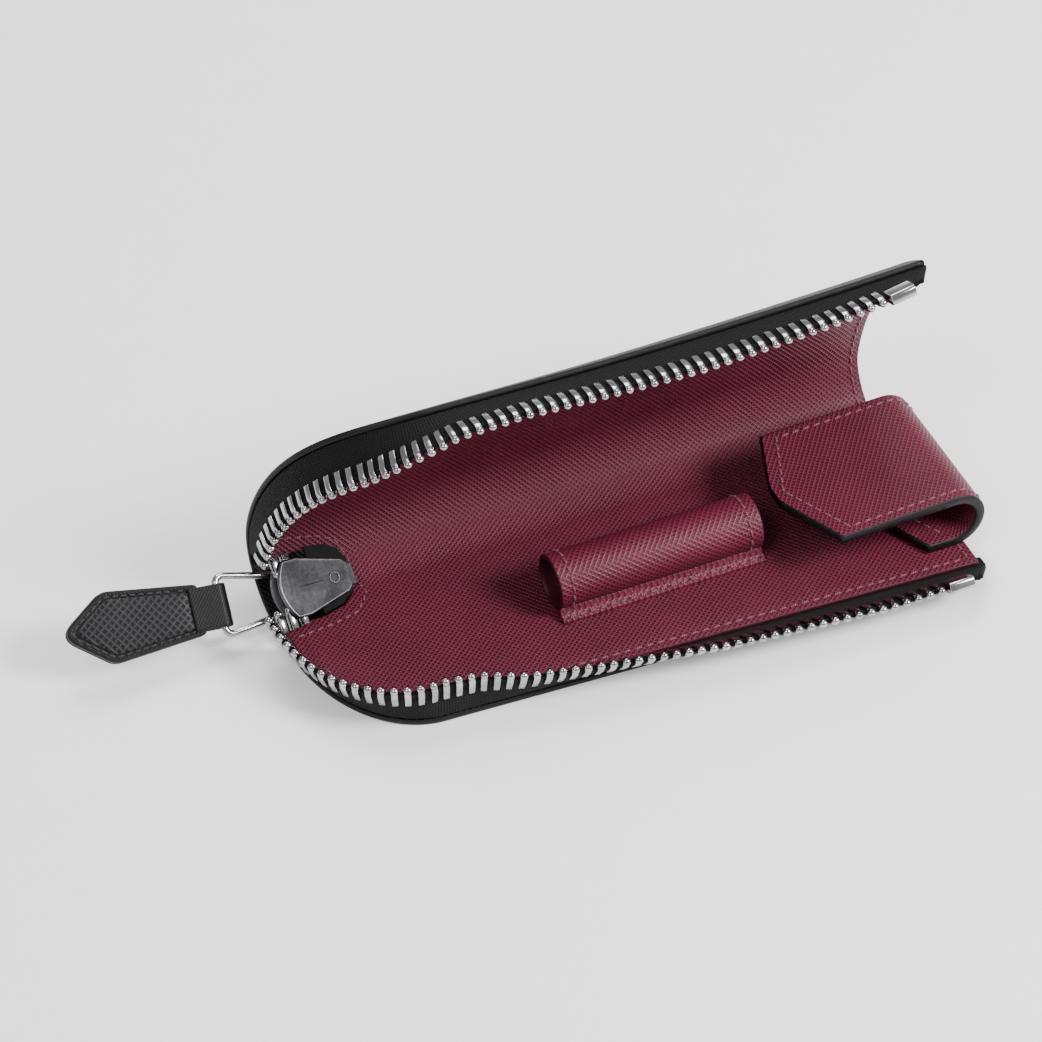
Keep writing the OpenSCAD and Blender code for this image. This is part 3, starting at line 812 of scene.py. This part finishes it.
def chain_places(frames, at=None):
    """Places along a row, of its teeth or at a given length: tip and (along the chain, tip direction, across)."""
    point, out, up, phi = frames
    tips = point + TIP_H * (np.cos(phi)[:, None] * out + np.sin(phi)[:, None] * up)
    walk = walked(tips)
    look = lambda line, s: np.array([np.interp(s, walk, line[:, k]) for k in range(3)])
    places = []
    for n, s in enumerate(np.arange(FIRST_TOOTH, walk[-1] - 0.3, PITCH) if at is None else [at]):
        tip, root = look(tips, s), look(point, s)
        d = (tip - root) / np.linalg.norm(tip - root)
        n_axis = np.cross(look(tips, s + 0.2) - look(tips, s - 0.2), d)
        n_axis /= np.linalg.norm(n_axis)
        tilt = 0.035 * math.sin(n * 2.4)
        along = np.cross(d, n_axis)
        places.append((tip, np.array([along + tilt * n_axis, d, n_axis - tilt * along])))
    return places


tooth = tooth_pattern()
stop_side = [(BALL_R - STOP_W, 0.3), (BALL_R - STOP_W, STOP_T / 2), (BALL_R - 0.5, STOP_T / 2),
             (BALL_R, STOP_T / 2 - 0.5), (BALL_R, 0.5 - STOP_T / 2), (BALL_R - 0.5, -STOP_T / 2),
             (BALL_R - STOP_W, -STOP_T / 2), (BALL_R - STOP_W, -0.3)]
stop = template(softened(extruded(stop_side, STOP_L / 2), 0.25, 3, 25))
low_frames, back_frames = edge_frames(LOW_CORNER, LOW_LEAN), edge_frames(BACK_CORNER, BACK_LEAN)
for tail, body, frames in (("lower", "base", low_frames), ("back", "back_panel", back_frames)):
    finish_piece(tape("zip_tape_" + tail, [line[:-2] for line in frames]), body,
                 replaces=("tape_" + tail,))
    finish_piece(repeated("zip_teeth_" + tail, tooth, chain_places(frames), [nickel]), body,
                 replaces=("teeth_" + tail,))
    finish_piece(repeated("zip_stop_" + tail, stop, chain_places(frames, STOP_AT), [nickel]),
                 body, replaces=("top_stop_" + tail,))

bow = []
for side in (-1, 1):
    for k in range(0 if side < 0 else 1, 3):
        axes = SLIDER_TURN @ np.diag([-side, -side, 1.0])
        bow.append((by_slider((-3.4 + k * PITCH, side * (4.4 - 0.35 * k), -SLIDER_T / 2)), axes.T))
finish_piece(repeated("zip_teeth_bow", tooth, bow, [nickel]), "base", replaces=("teeth_bow",))


# ---------------------------------------------------------------- slider
def plate(name, outline, levels, place, materials, which):
    """A plate in steps over its outline. Each level is (inset, scale, z), and which gives the
    material of each step."""
    outline = np.asarray(outline, float)
    n, centre = len(outline), outline.mean(0)
    inner = inner_side(outline)
    points, flats = [], []
    for inset, scale, z in levels:
        flat = centre + scale * (outline + inset * inner - centre)
        points.append(np.column_stack([flat, np.full(n, z)]))
        flats.append(flat)
    faces = [list(range(n))[::-1]]
    kinds = [which[0]]
    for j in range(len(levels) - 1):
        for i in range(n):
            k = (i + 1) % n
            faces.append([j * n + i, j * n + k, (j + 1) * n + k, (j + 1) * n + i])
            kinds.append(which[j])
    faces.append([(len(levels) - 1) * n + i for i in range(n)])
    kinds.append(which[-1])
    return outward(new_piece(name, place(np.concatenate(points)), faces, materials, np.concatenate(flats),
                             material_of=kinds))


SLIDER_W, TAIL_W, MOUTH_BOW, PLATE_T = 13.0, 7.5, 2.4, 0.9
mouth = [(MOUTH_BOW * (k * k - 1), k * SLIDER_W / 2) for k in np.linspace(-1, 1, 9)]
shield = rounded(mouth + [(3.5, SLIDER_W / 2), (SLIDER_L - 1.2, TAIL_W / 2), (SLIDER_L, TAIL_W / 2 - 1.2),
                          (SLIDER_L, 1.2 - TAIL_W / 2), (SLIDER_L - 1.2, -TAIL_W / 2),
                          (3.5, -SLIDER_W / 2)],
                 [0.7] + [0.8] * 7 + [0.7, 1.5, 0.7, 0.7, 0.7, 0.7, 1.5], 4, 4)
DOME = [(0.0, 1, -PLATE_T + 0.15), (0.0, 1, -0.42), (0.1, 1, -0.2), (0.25, 1, -0.08), (0.45, 1, -0.04),
        (0.5, 0.97, -0.07), (0.5, 0.92, -0.04), (0.5, 0.8, 0.02), (0.5, 0.6, 0.07), (0.5, 0.35, 0.1),
        (0.5, 0.1, 0.1)]
EDGE, FACE = 1, 0
dome_kinds = [EDGE] * 4 + [FACE] * 7
# the plates' edge steps take the lighter metal, a painted highlight along their bevels
inner_plate = plate("inner plate", shield, [(0.15, 1, -PLATE_T)] + DOME, by_slider,
                    [gunmetal, highlight_and_spring_metal], [EDGE] + dome_kinds)
outer_plate = plate("outer plate", shield,
                    [(i, s, -SLIDER_T - z) for i, s, z in [(0.15, 1, -PLATE_T)] + DOME], by_slider,
                    [gunmetal, highlight_and_spring_metal], [EDGE] + dome_kinds)
post = softened(prism("post", [(1.2, 0), (3.2, 1.7), (7, 0), (3.2, -1.7)], -SLIDER_T + 0.5, -0.5,
                      by_slider, gunmetal), 0.3)
parts = [inner_plate, outer_plate, post]
for side in (-1, 1):
    for low, high in ((-PLATE_T - 0.75, -PLATE_T + 0.3), (0.5 - SLIDER_T, PLATE_T - SLIDER_T + 0.75)):
        rail = [(4.5, side * 5.5), (4.5, side * 6.1), (8, side * 5.6),
                (SLIDER_L - 1.2, side * (TAIL_W / 2 - 0.05)),
                (SLIDER_L - 1.2, side * (TAIL_W / 2 - 0.75)), (8, side * 4.9)]
        parts.append(softened(prism("flange", rail, low, high, by_slider, gunmetal), 0.18))
BOSS_X, BOSS_R = SLIDER_L - 4.2, 1.15
boss = [(BOSS_X + BOSS_R * math.cos(a), BOSS_R * math.sin(a), 0.1)
        for a in np.linspace(0, 2 * math.pi, 33)[:-1]]
# the rivet rim in the lighter metal: a painted highlight round the ring
parts.append(swept("rivet rim", by_slider(boss), 0.17, highlight_and_spring_metal, True, 10, up=SLIDER_TURN[:, 2]))
crease = [(x, 0, 0.07) for x in np.linspace(1.2, SLIDER_L - 6.2, 14)]
parts.append(swept("crease", by_slider(crease), 0.12 * np.sin(np.linspace(0.15, math.pi - 0.15, 14)),
                   gunmetal, up=SLIDER_TURN[:, 2]))
finish_piece(joined("slider_shell", parts), "slider", replaces=("slider_body",))

# ---------------------------------------------------------------- ring and tab
LUG = np.array([2.4, 0, -SLIDER_T - 1.9])
RING_L, RING_IN, RING_OUT, WIRE_R, RING_BEND = 15.5, 8.0, 13.4, 0.78, 2.0
TAB_L, TAB_W, TAB_NECK, TAB_X, TAB_POINT = 36.2, 15.9, 11.0, -4.2, 10.7
RING_TURN = np.array(Matrix.Rotation(math.radians(-8), 3, "Y") @ Matrix.Rotation(math.radians(-5), 3, "Z"))
TAB_TURN = np.array(Matrix.Rotation(math.radians(-4), 3, "Y"))


def by_ring(points):
    return by_slider(LUG + np.asarray(points, float) @ RING_TURN.T)


def by_tab(points):
    return by_ring(np.array([-RING_L, 0, 0]) + np.asarray(points, float) @ TAB_TURN.T)


def level(points, z=0.0):
    return np.column_stack([points, np.full(len(points), z)])


loop = rounded([(0, RING_IN / 2), (-RING_L, RING_OUT / 2), (-RING_L, -RING_OUT / 2), (0, -RING_IN / 2)],
               RING_BEND, 9, 14)
ring_up = by_ring((0, 0, 1)) - by_ring((0, 0, 0))
finish_piece(swept("pull_ring_wire", by_ring(level(loop)), WIRE_R, nickel, True, 22, up=ring_up),
             "pull_ring", replaces=("pull_ring",))

shoulder = TAB_POINT - TAB_L
tab_outline = rounded([(TAB_X, TAB_NECK / 2), (shoulder, TAB_W / 2), (-TAB_L, 0), (shoulder, -TAB_W / 2),
                       (TAB_X, -TAB_NECK / 2)], [1.5, 4.5, 3.2, 4.5, 1.5], 8, 16)
half_t, TAB_SEAM = 1.4, 1.25
top_half = [(0.02, 1, 0.3), (0.0, 1, half_t - 0.55), (0.06, 1, half_t - 0.28), (0.22, 1, half_t - 0.1),
            (0.5, 1, half_t), (1.0, 1, half_t - 0.06), (1.3, 1, half_t - 0.26), (1.3, 0.96, half_t - 0.3),
            (1.3, 0.92, half_t - 0.1), (1.3, 0.86, half_t + 0.14), (1.3, 0.78, half_t + 0.26), (1.3, 0.5, half_t + 0.34),
            (1.3, 0.2, half_t + 0.36)]
kinds = [1] * 4 + [0] * 4 + [2] * 5
core_levels = [(i, s, -z) for i, s, z in top_half[::-1]] + [(0.35, 1, -0.12), (0.35, 1, 0.12)] + top_half
tab = plate("tab", tab_outline, core_levels, by_tab, [black_calf, black_paint, black_panel],
            kinds[::-1] + [1, 1] + kinds)
tab_parts = [tab]
tab_up = by_tab((0, 0, 1)) - by_tab((0, 0, 0))


for face in (1, -1):
    run = by_tab(level(tab_outline + TAB_SEAM * inner_side(tab_outline), face * (half_t - 0.16)))
    run = np.roll(run, -12, 0)
    tab_parts.append(stitches("tab seam", run, np.tile(tab_up * face, (len(run), 1)), black_thread, 1.9,
                              1.5, 0.19, slant=0.05))
finish_piece(joined("pull_tab", tab_parts), "pull_tab",
             replaces=("pull_tab_face", "pull_tab_back", "pull_tab_core"))


# ---------------------------------------------------------------- strips of leather folded over
def strip(name, path, width, thickness, materials, points_in=((0, 0), (0, 0)), soft=0.35, columns=24,
          rows=90, place=np.asarray, skew=0.0):
    """A strip that follows a path of (x, z) on its outer face, with its width on Y and its thickness
    to the path's left. points_in gives (how far the point reaches, roundness) for both ends."""
    path = np.asarray(path, float)
    walk = walked(path)
    slope = np.gradient(path, walk, axis=0)
    slope = unit(slope)
    across = np.linspace(-1, 1, columns)
    ease = 0.5 - 0.5 * np.cos(np.linspace(0, math.pi, rows))
    steps = 0.35 * ease + 0.65 * np.linspace(0, 1, rows)

    def run(inset):
        reach = [depth * (np.sqrt(across ** 2 + rounding) - math.sqrt(rounding))
                 for depth, rounding in points_in]
        low, high = inset + reach[0], walk[-1] - inset - reach[1] + skew * (across + 1) / 2
        return low[None, :] + steps[:, None] * (high - low)[None, :]

    def at(inset, h):
        s = run(inset)
        y = np.broadcast_to((width / 2 - inset) * across, s.shape)
        spot = [np.interp(s, walk, path[:, k]) for k in range(2)]
        lead = [np.interp(s, walk, slope[:, k]) for k in range(2)]
        points = np.stack([spot[0] - h * lead[1], y, spot[1] + h * lead[0]], -1).reshape(-1, 3)
        return place(points).reshape(rows, columns, 3)

    flat = lambda inset: np.stack([run(inset),
                                   np.broadcast_to((width / 2 - inset) * across, (rows, columns))], -1)
    return padded_sheet(name, at, edge_levels(0, thickness, 0, soft), columns, rows, materials, flat)


# the strap round the ring's outer bar
STRAP_W, STRAP_R, STRAP_T = 9.5, 1.15, 0.9
turn = np.linspace(-math.pi / 2, math.pi / 2, 25)
outer_r = STRAP_R + STRAP_T
strap_path = [(TAB_X - 2.6, -half_t - 0.55), (TAB_X - 0.5, -outer_r + 0.08)]
strap_path += [(outer_r * math.cos(a), outer_r * math.sin(a)) for a in turn]
strap_path += [(TAB_X - 0.5, outer_r - 0.08), (TAB_X - 2.6, half_t + 0.55)]
strap = strip("strap", strap_path, STRAP_W, STRAP_T, [black_calf, black_calf, black_paint], soft=0.3,
              rows=70, place=by_tab)
finish_piece(strap, "pull_tab", replaces=("pull_tab_strap",))

# the closing tongue
TONGUE_T, TONGUE_W, TONGUE_Y, BEND_X, BEND_R, DROOP = 2.35, 36.7, -5.35, 72.45, 7.35, math.radians(2)
BEND_Z, TIP_X, TIP_DEPTH, LEG_X, LEG_DEPTH, SKEW = WALL + BEND_R, 37.5, 7.5, 59.5, 9.5, 2.0
bend = [(BEND_X + BEND_R * math.cos(a), BEND_Z + BEND_R * math.sin(a))
        for a in np.linspace(-math.pi / 2, math.pi / 2 + DROOP, 40)]
fall = (BEND_X - TIP_X) / math.cos(DROOP)
lower_run = [(x, WALL) for x in np.linspace(LEG_X, BEND_X, 12)[:-1]]
upper_run = [(bend[-1][0] - s * math.cos(DROOP), bend[-1][1] - s * math.sin(DROOP))
             for s in np.linspace(0, fall, 30)[1:]]
tongue_path = lower_run + bend + upper_run
to_tongue = lambda p: np.asarray(p, float) + (0, TONGUE_Y, 0)
TONGUE_BEND = ("base", "tongue", (0.0798, -0.00535, 0.0056), (0.0798, -0.00535, 0.0140))
tongue_piece = strip("tongue_leather", tongue_path, TONGUE_W, TONGUE_T, [burgundy, burgundy, black_paint],
                     ((LEG_DEPTH, 0.12), (TIP_DEPTH, 0.004)), 0.45, 44, 150, to_tongue, SKEW)
finish_piece(tongue_piece, blend=TONGUE_BEND,
             replaces=("tongue_base", "tongue_base_lining", "tongue_face", "tongue_lining"))


def tongue_seam(name, inset, outer_face):
    """Lockstitching round the free leg on its face, or round the sewn leg on its inner side."""
    half = TONGUE_W / 2 - inset
    height = lambda x: bend[-1][1] - (bend[-1][0] - x) * math.tan(DROOP) + 0.03
    if outer_face:
        point_x = TIP_X + inset * 1.08
        nose = [(point_x + TIP_DEPTH * abs(t) * 0.95 - SKEW * (t + 1) / 2, t * half)
                for t in np.linspace(1, -1, 41)]
        sides = [[(x, y) for x in np.linspace(BEND_X, end, 30)[:-1]] for end, y in (nose[0], nose[-1])]
        line = sides[0] + nose + sides[1][::-1]
        curl = [(BEND_X + (BEND_R + 0.03) * math.cos(a), half, BEND_Z + (BEND_R + 0.03) * math.sin(a))
                for a in np.linspace(-0.5, math.pi / 2, 20)[:-1]]
        run = curl + [(x, y, height(x)) for x, y in line] + [(x, -y, z) for x, y, z in curl[::-1]]
        hub = lambda p: (p[0] - BEND_X, 0, p[2] - BEND_Z) if p[0] > BEND_X else (0, 0, 1)
        return stitches(name, to_tongue(run), [hub(p) for p in run], burgundy_thread)
    point_x = LEG_X + inset * 1.1
    nose = [(point_x + LEG_DEPTH * abs(t) * 0.95, t * half, WALL + TONGUE_T + 0.03)
            for t in np.linspace(1, -1, 41)]
    return stitches(name, to_tongue(nose), [(0, 0, 1)] * len(nose), burgundy_thread)


seams = [tongue_seam("face seam", 2.4, True), tongue_seam("foot seam", 2.2, False)]
finish_piece(joined("tongue_stitching", seams), blend=TONGUE_BEND)

# ---------------------------------------------------------------- pen loop
LOOP_X, LOOP_L, LOOP_Y, LOOP_R, BORE_R, LOOP_LINING = -16.0, 48.5, -4.0, 6.3, 5.3, 0.45
LOOP_Z, FLANGE_Y, FLANGE_T = WALL + LOOP_R, -11.5, 1.8


def turned(name, profile, materials, which, sides=96):
    """A ring profile of (x, radius) turned round the loop's axis."""
    profile = np.asarray(profile, float)
    n, a = len(profile), np.linspace(0, 2 * math.pi, sides, endpoint=False)
    rings = np.stack([np.broadcast_to(profile[:, 0], (sides, n)),
                      LOOP_Y + profile[:, 1] * np.cos(a)[:, None],
                      LOOP_Z + profile[:, 1] * np.sin(a)[:, None]], -1)
    flats = np.stack([np.broadcast_to(profile[:, 0], (sides, n)),
                      np.broadcast_to(a[:, None] * LOOP_R, (sides, n))], -1)
    return outward(new_piece(name, rings, tube_faces(sides, n, closed=True), materials, flats,
                             material_of=list(which[:n]) * sides))


def tube_profile(r_out, r_in, length, lip=0.3):
    x0, x1 = LOOP_X, LOOP_X + length
    run = np.linspace(x0 + 1, x1 - 1, 24)
    swell = 0.05 * np.sin((run - x0) / length * math.pi)
    outer_line = [(x, r_out - 0.05 + s) for x, s in zip(run, swell)]
    outer_line = [(x0 + lip, r_out)] + outer_line + [(x1 - lip, r_out)]
    lips = [(x1 - 0.08, r_out - 0.1), (x1, r_out - 0.25), (x1, r_in + 0.1), (x1 - 0.1, r_in)]
    back = [(x0 + 0.1, r_in), (x0, r_in + 0.1), (x0, r_out - 0.25), (x0 + 0.08, r_out - 0.1)]
    profile = outer_line + lips + [(x, r_in) for x in np.linspace(x1 - 1, x0 + 1, 12)] + back
    return profile, [0] * (len(outer_line) - 1) + [1] * 5 + [0] * 11 + [1] * 5


profile, which = tube_profile(LOOP_R, BORE_R + LOOP_LINING, LOOP_L)
finish_piece(turned("pen_loop_leather", profile, [burgundy_loop, burgundy_cut], which),
             "base", replaces=("pen_loop",))
profile, which = tube_profile(BORE_R + LOOP_LINING - 0.02, BORE_R, LOOP_L, 0.15)
finish_piece(turned("pen_loop_inner", profile, [burgundy_cut, burgundy_cut], which),
             "base", replaces=("pen_loop_lining",))

valley = [(LOOP_Y - (LOOP_R - 0.1) * math.cos(a), LOOP_Z - (LOOP_R - 0.1) * math.sin(a))
          for a in np.radians(np.linspace(80, 26, 14))]
pad = [(LOOP_Y - 1, WALL - 0.3), (FLANGE_Y, WALL - 0.3), (FLANGE_Y, WALL + 0.75),
       (FLANGE_Y + 0.3, WALL + 1.15), (FLANGE_Y + 1.0, WALL + 1.35),
       (FLANGE_Y + 1.35, WALL + 1.65), (FLANGE_Y + 1.9, WALL + FLANGE_T)]
flange_outline = pad + valley[::-1][2:]
middle = LOOP_X + LOOP_L / 2
flange = prism("pen_loop_foot", flange_outline, LOOP_X - middle, LOOP_X + LOOP_L - middle,
               lambda p: np.array([p[2] + middle, p[0], p[1]]), burgundy_loop)
flange = softened(flange, 0.22, 2, 50)
finish_piece(flange, "base", replaces=("pen_loop_flange",))

seams = []
for x in (LOOP_X + 3.0, LOOP_X + LOOP_L - 3.0):
    a = np.linspace(math.radians(-58), math.radians(212), 80)
    normals = np.stack([0 * a, np.cos(a), np.sin(a)], -1)
    seams.append(stitches("loop seam", np.array([x, LOOP_Y, LOOP_Z]) + (LOOP_R + 0.02) * normals, normals,
                          burgundy_thread, 2.3, 1.8))
for y, z in ((FLANGE_Y + 0.62, WALL + 1.3), (FLANGE_Y + 2.6, WALL + FLANGE_T - 0.12)):
    run = [(x, y, z) for x in np.linspace(LOOP_X + 1.2, LOOP_X + LOOP_L - 1.2, 40)]
    seams.append(stitches("foot seam", run, [(0, -0.2, 1)] * 40, burgundy_thread, 2.4, 1.9))
finish_piece(joined("pen_loop_stitching", seams), "base")

# ---------------------------------------------------------------- finishes on the parts kept as they are
for name, material in (("tape_end", tape_weave), ("bottom_stop", gunmetal), ("slider_bridge", gunmetal),
                       ("lock_spring", highlight_and_spring_metal)):
    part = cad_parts[name]
    for place in part.material_slots:
        place.material = material
    weld = part.modifiers.new("weld", "WELD")
    weld.merge_threshold = 0.00001
    rounding = part.modifiers.new("round", "BEVEL")
    rounding.width, rounding.segments = 0.2 * MM, 2
    rounding.limit_method, rounding.angle_limit = "ANGLE", math.radians(30)

# ---------------------------------------------------------------- floor, light and camera
low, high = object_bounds()
floor_z = float(low[2]) - 0.0001
mesh = bpy.data.meshes.new("floor")
size = 3.0
mesh.from_pydata([(-size, -size, floor_z), (size, -size, floor_z), (size, size, floor_z),
                  (-size, size, floor_z)], [], [(0, 1, 2, 3)])
paper = Finish("pale paper", specular_ior_level=0.2)
fibres = paper.noise(paper.node("ShaderNodeTexCoord", out=3), 90.0, 4.0)
paper.set(base_color=paper.blend(fibres, rgb(244, 244, 244), rgb(248, 248, 248)),
          roughness=0.85 + fibres * 0.05, emission_color=(1, 1, 1, 1), emission_strength=0.22)
mesh.materials.append(paper.material)
floor = bpy.data.objects.new("floor", mesh)
bpy.context.scene.collection.objects.link(floor)


def soft_light(name, azimuth, elevation, distance, size, power, target=(0, 0, 0.01)):
    """A square studio panel. azimuth is where it stands: 0 in front, 90 to the right."""
    a, e = math.radians(azimuth), math.radians(elevation)
    away = Vector((math.sin(a) * math.cos(e), -math.cos(a) * math.cos(e), math.sin(e)))
    lamp = bpy.data.lights.new(name, "AREA")
    lamp.energy, lamp.size = power, size
    panel = bpy.data.objects.new(name, lamp)
    panel.location = Vector(target) + away * distance
    panel.rotation_euler = away.to_track_quat("Z", "Y").to_euler()
    bpy.context.scene.collection.objects.link(panel)


soft_light("key", 48, 40, 0.9, 0.3, 12.0)
soft_light("fill", -60, 50, 1.2, 0.5, 5.0)
soft_light("back", 165, 58, 1.1, 0.6, 9.0)
world = bpy.data.worlds.new("studio")
world.use_nodes = True
sky = world.node_tree.nodes["Background"]
sky.inputs[0].default_value = (1, 1, 1, 1)
sky.inputs[1].default_value = 0.5
bpy.context.scene.world = world

eye = bpy.data.cameras.new("camera")
eye.lens, eye.sensor_width, eye.clip_start = 140, 36, 0.05
camera = bpy.data.objects.new("camera", eye)
toward = Vector((-0.2912, -0.6618, 0.6909))
camera.location = Vector((-0.01069, 0.02361, 0.0017)) + toward * 0.9
camera.rotation_euler = Matrix(((0.9153, 0.2782, -0.2912), (-0.4027, 0.6324, -0.6618),
                                (0.0, 0.7230, 0.6909))).to_euler()
bpy.context.scene.collection.objects.link(camera)
bpy.context.scene.camera = camera
